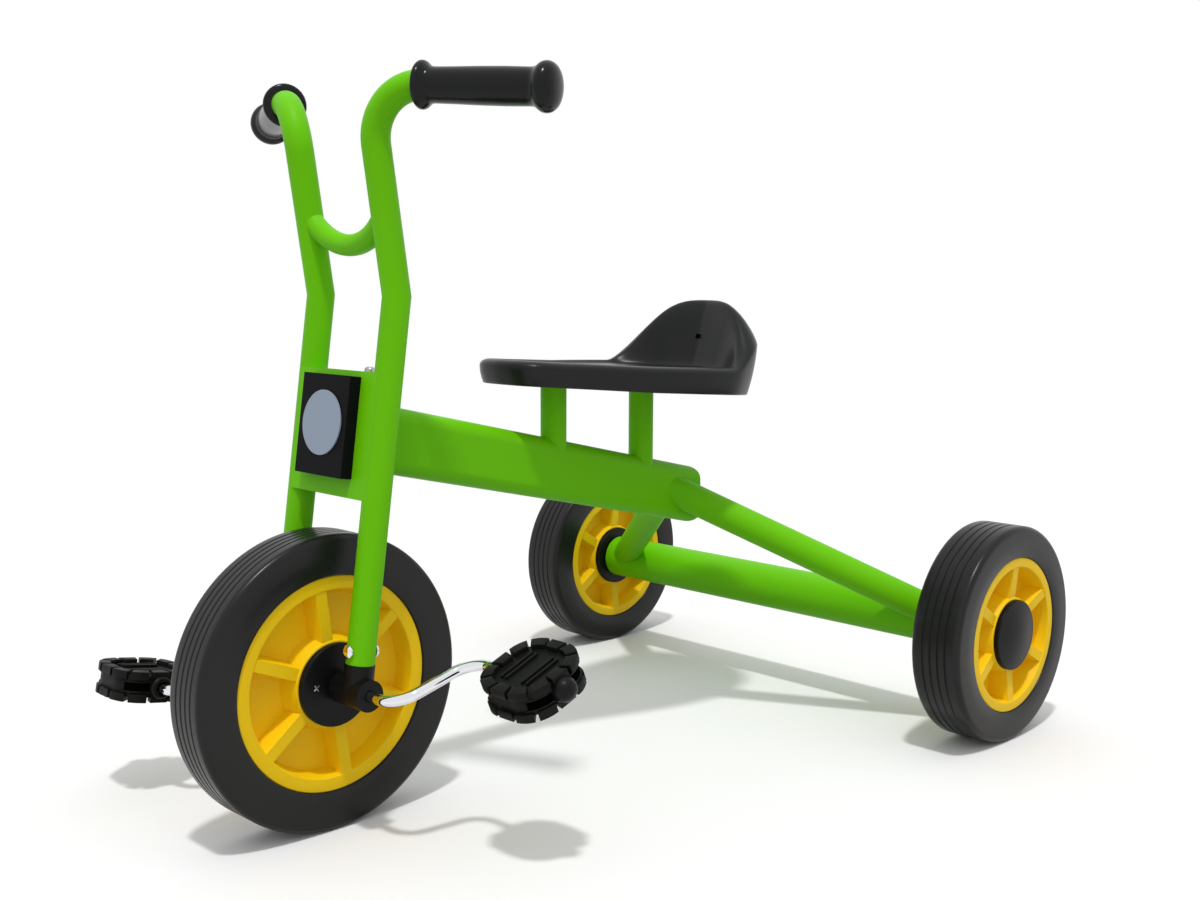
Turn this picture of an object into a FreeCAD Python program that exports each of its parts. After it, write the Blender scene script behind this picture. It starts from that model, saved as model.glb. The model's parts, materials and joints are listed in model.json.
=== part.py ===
import FreeCAD, Part
import math
import os
from types import SimpleNamespace

from FreeCAD import Placement, Rotation, Vector

# A steel-framed tricycle for a toddler: a flat-oval beam runs back from the head to two stays and
# the rear axle tube, and a raked fork made of two bent tubes carries the front wheel, whose hub is
# driven straight by a one-piece crank. Millimetres, +Z up, the rider faces -Y, +X is the rider's
# left. The origin is on the floor under the middle of the overall length.

SIZES = [
    # wheels
    ("wheelbase", 586, "front axle to rear axle"),
    ("front_wheel_radius", 120, "over the tyre"),
    ("front_tyre_width", 46, "sidewall to sidewall"),
    ("front_rim_radius", 87, "outer radius of the wheel centre"),
    ("front_rim_band", 11, "width of the flat ring round the pockets"),
    ("front_rim_inset", 4, "ring face inside the sidewall"),
    ("rear_wheel_radius", 104, "over the tyre"),
    ("rear_tyre_width", 50, "sidewall to sidewall"),
    ("rear_rim_radius", 74, "outer radius of the wheel centre"),
    ("rear_rim_band", 9, "width of the flat ring round the pockets"),
    ("rear_rim_inset", 1.2, "ring face inside the sidewall"),
    ("rear_track", 530, "between the middles of the rear tyres"),
    ("shoulder_radius", 5, "rounding between tread and sidewall"),
    ("groove_depth", 1.4, "depth of a groove round the tread"),
    ("groove_width", 2, "width of a groove round the tread"),
    ("spoke_width", 11, "width of a rib of a wheel centre"),
    ("web_thickness", 6, "web between the ribs"),
    ("pocket_draft", 3, "slope of a pocket's walls, in plan"),
    ("rib_setback", 1.5, "rib edges below the ring and the hub"),
    ("front_first_rib", 8, "front wheel's top rib, turned from upright"),
    ("hub_radius", 35, "hub of a wheel centre at its faces"),
    ("hub_cover_radius", 33.5, "covers and caps of the hubs"),
    ("hub_cover_thickness", 5, "flat part of a hub cover"),
    ("hub_cover_edge", 1.2, "rounded edge of a cover"),
    ("front_cover_proud", 3, "front covers stand out from the sidewalls"),
    ("rear_cover_proud", 0.8, "rear covers stand out from the sidewalls"),
    ("cap_wall", 2, "flat wall of a rear cap over the axle's end"),
    ("cap_dome", 4.5, "height of the dome of a rear cap"),
    # axles and crank
    ("rear_axle_diameter", 12, "steel rod through both rear wheels"),
    ("crank_rod_diameter", 9, "one-piece crank and pedal spindles"),
    ("axle_rod_proud", 1.5, "rod past the hub faces, inside the caps"),
    ("turning_gap", 0.4, "between a shaft and the bore that turns on it"),
    ("crank_throw", 69, "front axle to pedal spindle"),
    ("crank_angle", 21, "left crank above level, to the rear"),
    ("crank_shoulder", 101, "front wheel middle to the bend at the axle"),
    ("crank_outreach", 115, "front wheel middle to the bend at the spindle"),
    ("crank_bend", 24, "radius of both bends"),
    ("pedal_inner_end", 146, "front wheel middle to a pedal's inner end"),
    ("pedal_length", 66, "along the spindle"),
    ("pedal_set_over", 5, "pedals lie this far left of the wheel's middle"),
    ("pedal_width", 68, "across the tread"),
    ("pedal_thickness", 26, "sole to sole"),
    ("pedal_corner", 24, "corner radius of a pedal"),
    ("left_pedal_tilt", 22, "left pedal tipped forward"),
    ("right_pedal_tilt", -10, "right pedal tipped backward"),
    ("pedal_end_diameter", 20, "ball on the end of a pedal"),
    ("spindle_cover", 4, "wall of a pedal beyond its spindle"),
    ("spindle_end_gap", 0.5, "end of a spindle to its bore's bottom"),
    # fork and handlebar
    ("rake", 8, "fork leans back from upright"),
    ("fork_tube_diameter", 22.6, "legs and handlebar"),
    ("fork_spacing", 103.2, "between the middles of the legs"),
    ("tube_wall", 2, "wall of the round tubes"),
    ("leg_foot", 22, "front axle to the lower end of a leg"),
    ("leg_kink", 308, "front axle to the kink of a leg"),
    ("upper_lean", 8.6, "upper legs lean forward from upright"),
    ("upper_length", 159.4, "kink to the corner of the handlebar"),
    ("handle_bend", 40, "radius of the handlebar's bend"),
    ("handle_sweep", 25.5, "handles sweep back from straight across"),
    ("handle_drop", 3.1, "handles drop below level"),
    ("handle_length", 139, "corner to the end of the handle tube"),
    ("grip_start", 42, "corner to the inner face of a grip"),
    ("grip_length", 112, "over the flange and the bulb"),
    ("grip_wall", 1.95, "body of a grip over the tube"),
    ("grip_flange", 7, "flange of a grip over the tube"),
    ("grip_bulb", 7.4, "end bulb of a grip over the tube"),
    ("crossbar_diameter", 17.4, "dipped bar between the upper legs"),
    ("crossbar_radius", 66.7, "radius of the dip"),
    ("crossbar_rise", 40, "kink to the lowest middle of the dip"),
    # head
    ("steering_setback", 19.4, "steering axis behind the legs"),
    ("head_plate_low", 148.5, "front axle to the lower edge of the plate"),
    ("head_plate_high", 248, "front axle to the upper edge of the plate"),
    ("plate_thickness", 3, "front plate of the head"),
    ("yoke_thickness", 5, "plates above and below the head tube"),
    ("lower_yoke_lift", 6, "lower yoke above the plate's lower edge"),
    ("yoke_eye_radius", 15, "rounded tongue of a yoke about the pin"),
    ("head_gap", 2.6, "between a yoke and the head tube"),
    ("head_tube_diameter", 30, "outside"),
    ("steering_pin_diameter", 9.4, "pin through the head"),
    ("steering_pin_top", 5, "pin above the plate's upper edge"),
    ("steering_nut_width", 15, "across the flats"),
    ("steering_nut_height", 5.2, "below the lower yoke"),
    ("panel_width", 64, "lamp panel across"),
    ("panel_height", 80, "lamp panel along the fork"),
    ("panel_depth", 10.2, "lamp panel front to back"),
    ("panel_low", 163.4, "front axle to the panel's lower edge"),
    ("lens_diameter", 51.5, "round lens on the panel"),
    ("lens_rise", 1.2, "lens proud of the panel"),
    ("lens_height", 205, "front axle to the middle of the lens"),
    # hub housings on the fork
    ("housing_inner", 31, "front wheel middle to a housing's inner end"),
    ("housing_outer", 68.4, "front wheel middle to a housing's outer end"),
    ("housing_diameter", 25, "barrel of a housing"),
    ("collar_step", 0.6, "housing collar proud of the leg"),
    ("spigot_length", 26, "housing spigot inside the leg"),
    ("housing_bolt_height", 32, "front axle to the bolt through the leg"),
    ("housing_bolt_diameter", 5, "shank"),
    ("housing_bolt_head", 11, "diameter of its two round heads"),
    ("housing_bolt_head_height", 4, "height of a head"),
    # beam, stays and posts
    ("beam_height", 55.5, "flat-oval beam, square to its length"),
    ("beam_width", 24.6, "flat-oval beam across"),
    ("beam_wall", 2, "wall of the beam"),
    ("beam_slope", 12.8, "beam falls to the rear"),
    ("beam_head_height", 312.2, "floor to the beam's middle at the steering axis"),
    ("beam_rear", 139, "rear axle to the rear end of the beam"),
    ("beam_end_radius", 9, "corners of the rear end"),
    ("stay_diameter", 30, "stays from the beam to the axle tube"),
    ("stay_start", 175, "rear axle to where the stays meet in the beam"),
    ("stay_start_height", 233, "floor to where the stays meet"),
    ("stay_end", 228, "middle plane to where a stay meets the axle tube"),
    ("axle_tube_diameter", 46.8, "outside"),
    ("axle_tube_gap", 2.4, "axle tube to the inner sidewall of a tyre"),
    ("plug_depth", 12, "bearing plugs in the axle tube"),
    ("plug_lip", 1, "lip of a plug past the axle tube"),
    ("plug_lip_width", 5, "lip of a plug round the rod"),
    ("post_diameter", 23.8, "seat posts"),
    ("front_post", 330, "rear axle to the front seat post"),
    ("rear_post", 214, "rear axle to the rear seat post"),
    # seat
    ("seat_height", 357, "floor to the pan above the middle of the posts"),
    ("seat_tilt", 2.5, "pan falls to the rear"),
    ("seat_front", 128, "middle of the posts to the nose"),
    ("seat_rear", 178, "middle of the posts to the back of the seat"),
    ("nose_width", 100, "across the nose"),
    ("seat_width", 180, "across the widest place"),
    ("skirt_depth", 25, "edge of the seat, top to bottom"),
    ("seat_shell", 5, "thickness of the moulding"),
    ("seat_rim", 3, "rim above the pan"),
    ("seat_rim_width", 12, "rolled rim round the pan"),
    ("back_height", 67, "top of the back above the pan"),
    ("back_length", 78, "how far the back's wings run forward"),
    ("mount_plate_length", 168, "plate on top of the posts"),
    ("mount_plate_width", 56, "plate on top of the posts"),
    ("mount_plate_thickness", 4, "plate on top of the posts"),
]

doc = FreeCAD.newDocument("toddler_tricycle")
sheet = doc.addObject("Spreadsheet::Sheet", "sizes")
for row, (alias, value, meaning) in enumerate(SIZES, start=1):
    sheet.set(f"A{row}", meaning)
    sheet.set(f"B{row}", str(value))
    sheet.setAlias(f"B{row}", alias)
doc.recompute()
size = SimpleNamespace(**{alias: float(sheet.get(alias)) for alias, _, _ in SIZES})

X, Y, Z = Vector(1, 0, 0), Vector(0, 1, 0), Vector(0, 0, 1)
ORIGIN = Vector(0, 0, 0)
LEFT, RIGHT = ("left", 1), ("right", -1)
parts = []

# the two axles, with the middle of the overall length at y = 0
rear_y = (size.wheelbase + size.front_wheel_radius - size.rear_wheel_radius) / 2
rear_axle = Vector(0, rear_y, size.rear_wheel_radius)
front_axle = Vector(0, rear_y - size.wheelbase, size.front_wheel_radius)

# the fork's own frame: origin on the front axle, z up along the legs, y square to them to the rear
fork_turn = Rotation(X, -size.rake)
fork_frame = Placement(front_axle, fork_turn)


def keep(node, thing):
    """Name a finished piece after the file it is written to."""
    thing.Label = node
    parts.append(thing)
    return thing


def bind(thing, **formulas):
    """Tie properties of an object to cells of the sheet."""
    for name, formula in formulas.items():
        thing.setExpression(name, formula)
    return thing


def aim(direction):
    """Rotation that takes the local z axis to a direction."""
    return Rotation(Z, direction)


def cylinder(name, radius, height, base, axis):
    """Part cylinder with bound sizes, from a base point along an axis."""
    thing = doc.addObject("Part::Cylinder", name)
    bind(thing, Radius=radius, Height=height)
    thing.Placement = Placement(base, aim(axis))
    return thing


def box(name, length, width, height, corner, turn=Rotation()):
    """Part box with bound sizes along x, y and z of its own frame."""
    thing = doc.addObject("Part::Box", name)
    bind(thing, Length=length, Width=width, Height=height)
    thing.Placement = Placement(corner, turn)
    return thing


def cut(name, base, *tools):
    """Boolean cut with one tool, or with several fused first."""
    tool = tools[0]
    if len(tools) > 1:
        tool = fuse(name + "_tools", *tools)
    thing = doc.addObject("Part::Cut", name)
    thing.Base, thing.Tool = base, tool
    return thing


def fuse(name, *things):
    """Boolean union."""
    thing = doc.addObject("Part::MultiFuse", name)
    thing.Shapes = list(things)
    return thing


def common(name, *things):
    """Boolean intersection."""
    thing = doc.addObject("Part::MultiCommon", name)
    thing.Shapes = list(things)
    return thing


def feature(name, shape, placement=Placement()):
    """Plain feature for a shape that has no parametric object of its own."""
    thing = doc.addObject("Part::Feature", name)
    thing.Shape = shape
    thing.Placement = placement
    return thing


def body_sketch(body, name, role):
    """Sketch attached to one of the body's own origin planes."""
    sketch = body.newObject("Sketcher::SketchObject", name)
    plane = next(f for f in body.Origin.OriginFeatures if f.Role == role)
    sketch.AttachmentSupport = [(plane, "")]
    sketch.MapMode = "FlatFace"
    return sketch


def outline(sketch, points):
    """Closed polygon in a sketch."""
    for start, end in zip(points, points[1:] + points[:1]):
        sketch.addGeometry(Part.LineSegment(Vector(*start, 0), Vector(*end, 0)), False)


def body_axis(body, role):
    """One of the body's own origin axes."""
    return (next(f for f in body.Origin.OriginFeatures if f.Role == role), [""])


def turned_body(name, profile):
    """Body turned about its own z axis from a closed profile of radius and height."""
    body = doc.addObject("PartDesign::Body", name)
    sketch = body_sketch(body, name + "_profile", "XZ_Plane")
    outline(sketch, profile)
    turn = body.newObject("PartDesign::Revolution", name + "_turning")
    turn.Profile = sketch
    turn.ReferenceAxis = body_axis(body, "Z_Axis")
    turn.Angle = 360
    body.Tip = turn
    return body


def rounded_path(points, radii):
    """Wire through points, with a tangent arc of the given radius at each inner point, 0 for none."""
    edges, start = [], points[0]
    for before, corner, after, radius in zip(points, points[1:], points[2:], radii):
        into, out = (corner - before).normalize(), (after - corner).normalize()
        if radius > 0:
            half = into.getAngle(out) / 2
            setback = radius * math.tan(half)
            first, last = corner - into * setback, corner + out * setback
            inward = (out - into).normalize()
            middle = corner + inward * (radius / math.cos(half) - radius)
            edges += [Part.LineSegment(start, first).toShape(), Part.Arc(first, middle, last).toShape()]
            start = last
        else:
            edges.append(Part.LineSegment(start, corner).toShape())
            start = corner
    edges.append(Part.LineSegment(start, points[-1]).toShape())
    return Part.Wire(edges)


def swept(points, radii, radius):
    """Round bar along a rounded path, mitred where the path has a sharp corner."""
    ring = Part.Wire(Part.makeCircle(radius, points[0], points[1] - points[0]))
    mitred = 1
    return rounded_path(points, radii).makePipeShell([ring], True, False, mitred)


# ---- wheels ----------------------------------------------------------------------------------

def tyre(node, radius, width, inner, centre):
    """Solid tyre with flat sidewalls, rounded shoulders and four grooves round the tread."""
    half, shoulder = width / 2, size.shoulder_radius
    depth, groove = size.groove_depth, size.groove_width
    profile = [(inner, -half), (radius - shoulder, -half)]
    profile += [(radius - shoulder * 0.3, -half + shoulder * 0.3), (radius, -half + shoulder)]
    pitch = (width - 2 * shoulder) / 5
    for number in range(1, 5):
        middle = -half + shoulder + number * pitch
        profile += [(radius, middle - groove / 2), (radius - depth, middle - groove / 4)]
        profile += [(radius - depth, middle + groove / 4), (radius, middle + groove / 2)]
    profile += [(radius, half - shoulder), (radius - shoulder * 0.3, half - shoulder * 0.3)]
    profile += [(radius - shoulder, half), (inner, half)]
    body = turned_body(node, profile)
    body.Placement = Placement(centre, aim(X))
    return keep(node, body)


def wheel_centre(node, radius, band, width, bore, hub_half, first_spoke, centre):
    """Moulded centre: hub, web, ring and six ribs, the same on both faces."""
    half, web, draft = width / 2, size.web_thickness / 2, size.pocket_draft
    inner = radius - band
    profile = [(bore, -hub_half), (size.hub_radius, -hub_half), (size.hub_radius + draft, -web)]
    profile += [(inner - draft, -web), (inner, -half), (radius, -half), (radius, half), (inner, half)]
    profile += [(inner - draft, web), (size.hub_radius + draft, web), (size.hub_radius, hub_half)]
    profile += [(bore, hub_half)]
    body = turned_body(node, profile)
    sketch = body_sketch(body, node + "_rib_plan", "XY_Plane")
    side = size.spoke_width / 2
    start, end = size.hub_radius - draft, inner + band / 3
    outline(sketch, [(start, -side), (end, -side), (end, side), (start, side)])
    rib = body.newObject("PartDesign::Pad", node + "_rib")
    rib.Profile = sketch
    rib.Midplane = True
    rib.Length = 2 * (min(half, hub_half) - size.rib_setback)
    ribs = body.newObject("PartDesign::PolarPattern", node + "_ribs")
    ribs.Originals = [rib]
    ribs.Axis = body_axis(body, "Z_Axis")
    ribs.Angle = 360
    ribs.Occurrences = 6
    body.Tip = ribs
    # local x points up after the turn, so the first rib stands at first_spoke from upright
    body.Placement = Placement(centre, Rotation(X, first_spoke) * Rotation(Y, -90))
    return keep(node, body)


def hub_cover(node, bore, face, side, centre, dome):
    """Round cover on a hub face: a flat disc, or with a dome a closed cap over the axle's end."""
    radius, flat, edge = size.hub_cover_radius, size.hub_cover_thickness, size.hub_cover_edge
    rim = [(radius, 0), (radius, flat - edge), (radius - edge, flat)]
    if dome > 0:
        hollow = flat - size.cap_wall
        profile = [(0, hollow), (size.rear_axle_diameter, hollow), (size.rear_axle_diameter, 0)] + rim
        steps = 6
        for step in range(1, steps + 1):
            share = step / steps
            rise = dome * math.sin(share * math.pi / 2)
            profile.append(((radius - edge) * (1 - share), flat + rise))
    else:
        profile = [(bore, 0)] + rim + [(bore, flat)]
    body = turned_body(node, profile)
    body.Placement = Placement(centre + X * side * face, aim(X * side))
    return keep(node, body)


crank_bore = size.crank_rod_diameter / 2
front_hub_half = size.front_tyre_width / 2 + size.front_cover_proud - size.hub_cover_thickness
tyre("front_tyre", size.front_wheel_radius, size.front_tyre_width, size.front_rim_radius, front_axle)
wheel_centre("front_wheel_centre", size.front_rim_radius, size.front_rim_band,
             size.front_tyre_width - 2 * size.front_rim_inset, crank_bore, front_hub_half,
             size.front_first_rib, front_axle)
for side_name, side in (LEFT, RIGHT):
    hub_cover(f"{side_name}_front_hub_cover", crank_bore, front_hub_half, side, front_axle, 0)

rear_bore = size.rear_axle_diameter / 2 + size.turning_gap
rear_hub_half = size.rear_tyre_width / 2 + size.rear_cover_proud - size.hub_cover_thickness
for side_name, side in (LEFT, RIGHT):
    centre = rear_axle + X * side * size.rear_track / 2
    tyre(f"{side_name}_rear_tyre", size.rear_wheel_radius, size.rear_tyre_width,
         size.rear_rim_radius, centre)
    wheel_centre(f"{side_name}_rear_wheel_centre", size.rear_rim_radius, size.rear_rim_band,
                 size.rear_tyre_width - 2 * size.rear_rim_inset, rear_bore, rear_hub_half, 0, centre)
    hub_cover(f"{side_name}_rear_hub_cap", 0, rear_hub_half, side, centre, size.cap_dome)
    hub_cover(f"{side_name}_rear_inner_cover", rear_bore, rear_hub_half, -side, centre, 0)

# ---- frame -----------------------------------------------------------------------------------

steering_base = fork_frame.multVec(Vector(0, size.steering_setback, 0))
steering_axis = fork_turn.multVec(Z)
beam_direction = Rotation(X, -size.beam_slope).multVec(Y)
head_run = (size.beam_head_height - steering_base.z) / steering_axis.z
beam_front = steering_base + steering_axis * head_run


def beam_bar(name, inset, length):
    """Flat-oval bar along the beam, smaller all round by the inset."""
    body = doc.addObject("PartDesign::Body", name)
    sketch = body_sketch(body, name + "_oval", "XZ_Plane")
    end_radius = size.beam_width / 2 - inset
    flat = size.beam_height / 2 - size.beam_width / 2
    for sign in (1, -1):
        sketch.addGeometry(Part.LineSegment(Vector(sign * end_radius, -flat * sign, 0),
                                            Vector(sign * end_radius, flat * sign, 0)), False)
        arc = Part.Arc(Vector(sign * end_radius, flat * sign, 0),
                       Vector(0, sign * (flat + end_radius), 0),
                       Vector(-sign * end_radius, flat * sign, 0))
        sketch.addGeometry(arc, False)
    pad = body.newObject("PartDesign::Pad", name + "_run")
    pad.Profile = sketch
    pad.Length = length
    pad.Reversed = True
    body.Tip = pad
    body.Placement = Placement(beam_front, Rotation(X, -size.beam_slope))
    return body


beam_end_y = rear_axle.y - size.beam_rear
beam_run = (beam_end_y - beam_front.y) / beam_direction.y
beam_spare = 40


def beam_trim(name, end_y, radius):
    """Upright block that ends the slanted bar plumb, with two rounded corners at the rear."""
    top = beam_front.z + size.beam_height
    rear_middle = (beam_front + beam_direction * beam_run).z
    half = size.beam_height / 2 / beam_direction.y
    slope = math.tan(math.radians(size.beam_slope))
    corners = [Vector(0, beam_front.y - size.beam_width, top), Vector(0, end_y, rear_middle + half),
               Vector(0, end_y, rear_middle - half), Vector(0, beam_front.y - size.beam_width,
               rear_middle - half + (end_y - beam_front.y + size.beam_width) * slope)]
    corners[0].z = rear_middle + half + (end_y - corners[0].y) * slope
    start = (corners[0] + corners[3]) / 2
    wire = rounded_path([start] + corners + [start], [0, radius, radius, 0])
    sheet_face = Part.Face(wire)
    sheet_face.translate(Vector(-size.beam_width, 0, 0))
    return feature(name, sheet_face.extrude(X * 2 * size.beam_width))


beam_solid = common("beam_solid", beam_bar("beam_outer", 0, beam_run + beam_spare),
                    beam_trim("beam_trim", beam_end_y, size.beam_end_radius))
beam_hollow = common("beam_hollow", beam_bar("beam_inner", size.beam_wall, beam_run + beam_spare),
                     beam_trim("beam_inner_trim", beam_end_y - size.beam_wall, size.beam_end_radius))
head_low = size.head_plate_low + size.lower_yoke_lift + size.yoke_thickness + size.head_gap
head_high = size.head_plate_high - size.yoke_thickness - size.head_gap
head_height = head_high - head_low
head_outer = cylinder("head_outer", "sizes.head_tube_diameter / 2", f"{head_height} mm",
                      steering_base + steering_axis * head_low, steering_axis)
head_bore = cylinder("head_bore", "sizes.steering_pin_diameter / 2 + sizes.turning_gap",
                     f"{head_height} mm", steering_base + steering_axis * head_low, steering_axis)
keep("head_tube", cut("head_tube", head_outer, head_bore))
keep("main_beam", cut("main_beam", beam_solid, beam_hollow, head_outer))


def thrust_washer(node, height):
    """Nylon washer that fills most of the gap between a yoke and the head tube."""
    radius = size.head_tube_diameter / 2 - size.tube_wall
    bore = size.steering_pin_diameter / 2 + size.turning_gap
    thickness = size.head_gap - size.turning_gap
    body = turned_body(node, [(bore, 0), (radius, 0), (radius, thickness), (bore, thickness)])
    body.Placement = Placement(steering_base + steering_axis * height, fork_turn)
    return keep(node, body)


thrust_washer("upper_head_washer", head_high)
thrust_washer("lower_head_washer", head_low - size.head_gap + size.turning_gap)

# rear axle tube with its bearing plugs, and the axle rod
tube_half = (size.rear_track - size.rear_tyre_width) / 2 - size.axle_tube_gap
tube_start = rear_axle - X * tube_half
axle_outer = cylinder("axle_tube_outer", "sizes.axle_tube_diameter / 2", f"{2 * tube_half} mm",
                      tube_start, X)
axle_inner = cylinder("axle_tube_inner", "sizes.axle_tube_diameter / 2 - sizes.tube_wall",
                      f"{2 * tube_half} mm", tube_start, X)
keep("rear_axle_tube", cut("rear_axle_tube", axle_outer, axle_inner))
for side_name, side in (LEFT, RIGHT):
    radius = size.axle_tube_diameter / 2 - size.tube_wall
    bore, lip = size.rear_axle_diameter / 2, size.plug_lip
    plug = turned_body(f"{side_name}_axle_plug",
                       [(bore, -size.plug_depth), (radius, -size.plug_depth), (radius, 0),
                        (bore + size.plug_lip_width, 0), (bore + size.plug_lip_width, lip),
                        (bore, lip)])
    plug.Placement = Placement(rear_axle + X * side * tube_half, aim(X * side))
    keep(f"{side_name}_axle_plug", plug)
rod_half = size.rear_track / 2 + rear_hub_half + size.axle_rod_proud
keep("rear_axle_rod", cylinder("rear_axle_rod", "sizes.rear_axle_diameter / 2", f"{2 * rod_half} mm",
                               rear_axle - X * rod_half, X))


def open_tube(node, diameter, start, end, *trims):
    """Round tube between two points, trimmed by the outsides of the pieces it is welded to."""
    length, direction = (end - start).Length, end - start
    outer = cylinder(node + "_outer", f"sizes.{diameter} / 2", f"{length} mm", start, direction)
    inner = cylinder(node + "_inner", f"sizes.{diameter} / 2 - sizes.tube_wall", f"{length} mm",
                     start, direction)
    return keep(node, cut(node, outer, inner, *trims))


for side_name, side in (LEFT, RIGHT):
    start = Vector(0, rear_axle.y - size.stay_start, size.stay_start_height)
    target = rear_axle + X * side * size.stay_end
    inside_tube = (start - target).normalize() * size.stay_diameter * 0.4
    open_tube(f"{side_name}_stay", "stay_diameter", start, target + inside_tube,
              beam_solid, axle_outer)

# seat posts rise from the beam's centre line to the plate under the seat
seat_middle = Vector(0, rear_axle.y - (size.front_post + size.rear_post) / 2, size.seat_height)
seat_turn = Rotation(X, -size.seat_tilt)
seat_frame = Placement(seat_middle, seat_turn)
plate_top = -size.seat_shell
plate_bottom = plate_top - size.mount_plate_thickness
plate = box("seat_mount_plate", "sizes.mount_plate_width", "sizes.mount_plate_length",
            "sizes.mount_plate_thickness",
            seat_frame.multVec(Vector(-size.mount_plate_width / 2, -size.mount_plate_length / 2,
                                      plate_bottom)), seat_turn)
keep("seat_mount_plate", plate)
for place_name, setback in (("front", size.front_post), ("rear", size.rear_post)):
    y = rear_axle.y - setback
    beam_z = beam_front.z - (y - beam_front.y) * math.tan(math.radians(size.beam_slope))
    open_tube(f"{place_name}_seat_post", "post_diameter", Vector(0, y, beam_z),
              Vector(0, y, size.seat_height), beam_solid,
              box(f"{place_name}_post_trim", "sizes.seat_width", "sizes.mount_plate_length * 2",
                  "sizes.seat_height", seat_frame.multVec(Vector(-size.seat_width / 2,
                  -size.mount_plate_length, plate_bottom)), seat_turn))

# ---- seat ------------------------------------------------------------------------------------

def saddle_face(inset, height):
    """Plan of the seat, smaller all round by the inset, as a face at a height."""
    nose, wide = size.nose_width / 2 - inset, size.seat_width / 2 - inset
    front, rear = -size.seat_front + inset, size.seat_rear - inset
    half = [(nose * 0.7, front + nose * 0.16), (nose, front + nose * 0.62),
            (nose + (wide - nose) * 0.3, front + (rear - front) * 0.27),
            (wide * 0.94, front + (rear - front) * 0.52), (wide, rear - wide * 1.05),
            (wide * 0.93, rear - wide * 0.55), (wide * 0.6, rear - wide * 0.13)]
    ring = [Vector(0, front, height)] + [Vector(x, y, height) for x, y in half]
    ring += [Vector(0, rear, height)] + [Vector(-x, y, height) for x, y in reversed(half)]
    curve = Part.BSplineCurve()
    curve.interpolate(Points=ring, PeriodicFlag=True)
    return Part.Face(Part.Wire(curve.toShape()))


def seat_shape():
    """Dished pan with a skirt all round and a back that wraps forward along both sides."""
    shell, back = size.seat_shell, size.back_height
    rim, rolled = size.seat_rim, size.seat_rim_width
    tub = saddle_face(0, -size.skirt_depth).extrude(Z * (size.skirt_depth + rim))
    hollow = saddle_face(shell, -size.skirt_depth).extrude(Z * (size.skirt_depth - shell))
    dish = saddle_face(rolled, 0).extrude(Z * rim)
    wall = saddle_face(0, 0).extrude(Z * back).cut(saddle_face(rolled, 0).extrude(Z * back))
    rear, run = size.seat_rear, size.back_length
    ramp = [Vector(0, rear - run * (1 - ahead), back * rise)
            for ahead, rise in ((0, 0), (0.28, 0.27), (0.5, 0.5), (0.72, 0.76), (0.88, 0.94), (0.97, 1))]
    curve = Part.BSplineCurve()
    curve.interpolate(Points=ramp)
    edges = [curve.toShape()]
    corners = [ramp[-1], Vector(0, rear + 1, back), Vector(0, rear + 1, -1), Vector(0, rear - run, -1),
               ramp[0]]
    edges += [Part.LineSegment(a, b).toShape() for a, b in zip(corners, corners[1:])]
    side_view = Part.Face(Part.Wire(edges))
    side_view.translate(Vector(-size.seat_width, 0, 0))
    wings = wall.common(side_view.extrude(X * 2 * size.seat_width))
    return tub.cut(hollow).cut(dish).fuse(wings).removeSplitter()


keep("seat", feature("seat", seat_shape(), seat_frame))

# ---- fork ------------------------------------------------------------------------------------

leg_x = size.fork_spacing / 2
leg_radius = size.fork_tube_diameter / 2


def to_fork(direction):
    """Direction of the whole object, seen in the fork's own frame."""
    return fork_turn.inverted().multVec(direction)


def handle_direction(side):
    """Along a handle from its corner outwards, in the fork's own frame."""
    level = Rotation(Z, side * size.handle_sweep).multVec(X * side)
    drop = math.radians(size.handle_drop)
    return to_fork(level * math.cos(drop) - Z * math.sin(drop))


def handle_corner(side):
    """Where the upper leg's line meets the handle's line, in the fork's own frame."""
    up = to_fork(Rotation(X, size.upper_lean).multVec(Z))
    return Vector(side * leg_x, 0, size.leg_kink) + up * size.upper_length


def fork_tube_shape(side, radius):
    """Leg and handlebar half in one bent bar."""
    corner = handle_corner(side)
    points = [Vector(side * leg_x, 0, size.leg_foot), Vector(side * leg_x, 0, size.leg_kink), corner,
              corner + handle_direction(side) * size.handle_length]
    return swept(points, [0, size.handle_bend], radius)


# the bolt through each leg and its bearing housing, from the front face of its front head
bolt_half = leg_radius + size.housing_bolt_head_height
bolt_axis = fork_turn.multVec(Y)
leg_bars, bolt_starts, bolt_holes = [], {}, {}
for side_name, side in (LEFT, RIGHT):
    start = fork_frame.multVec(Vector(side * leg_x, -bolt_half, size.housing_bolt_height))
    hole = cylinder(f"{side_name}_bolt_hole", "sizes.housing_bolt_diameter / 2",
                    f"{2 * bolt_half} mm", start, bolt_axis)
    bolt_starts[side_name], bolt_holes[side_name] = start, hole
    bar = fork_tube_shape(side, leg_radius)
    leg_bars.append(bar)
    tube = bar.cut(fork_tube_shape(side, leg_radius - size.tube_wall))
    tube = feature(f"{side_name}_fork_tube_bent", tube, fork_frame)
    keep(f"{side_name}_fork_tube", cut(f"{side_name}_fork_tube", tube, hole))
both_legs = feature("both_legs", Part.makeCompound(leg_bars), fork_frame)


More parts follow.
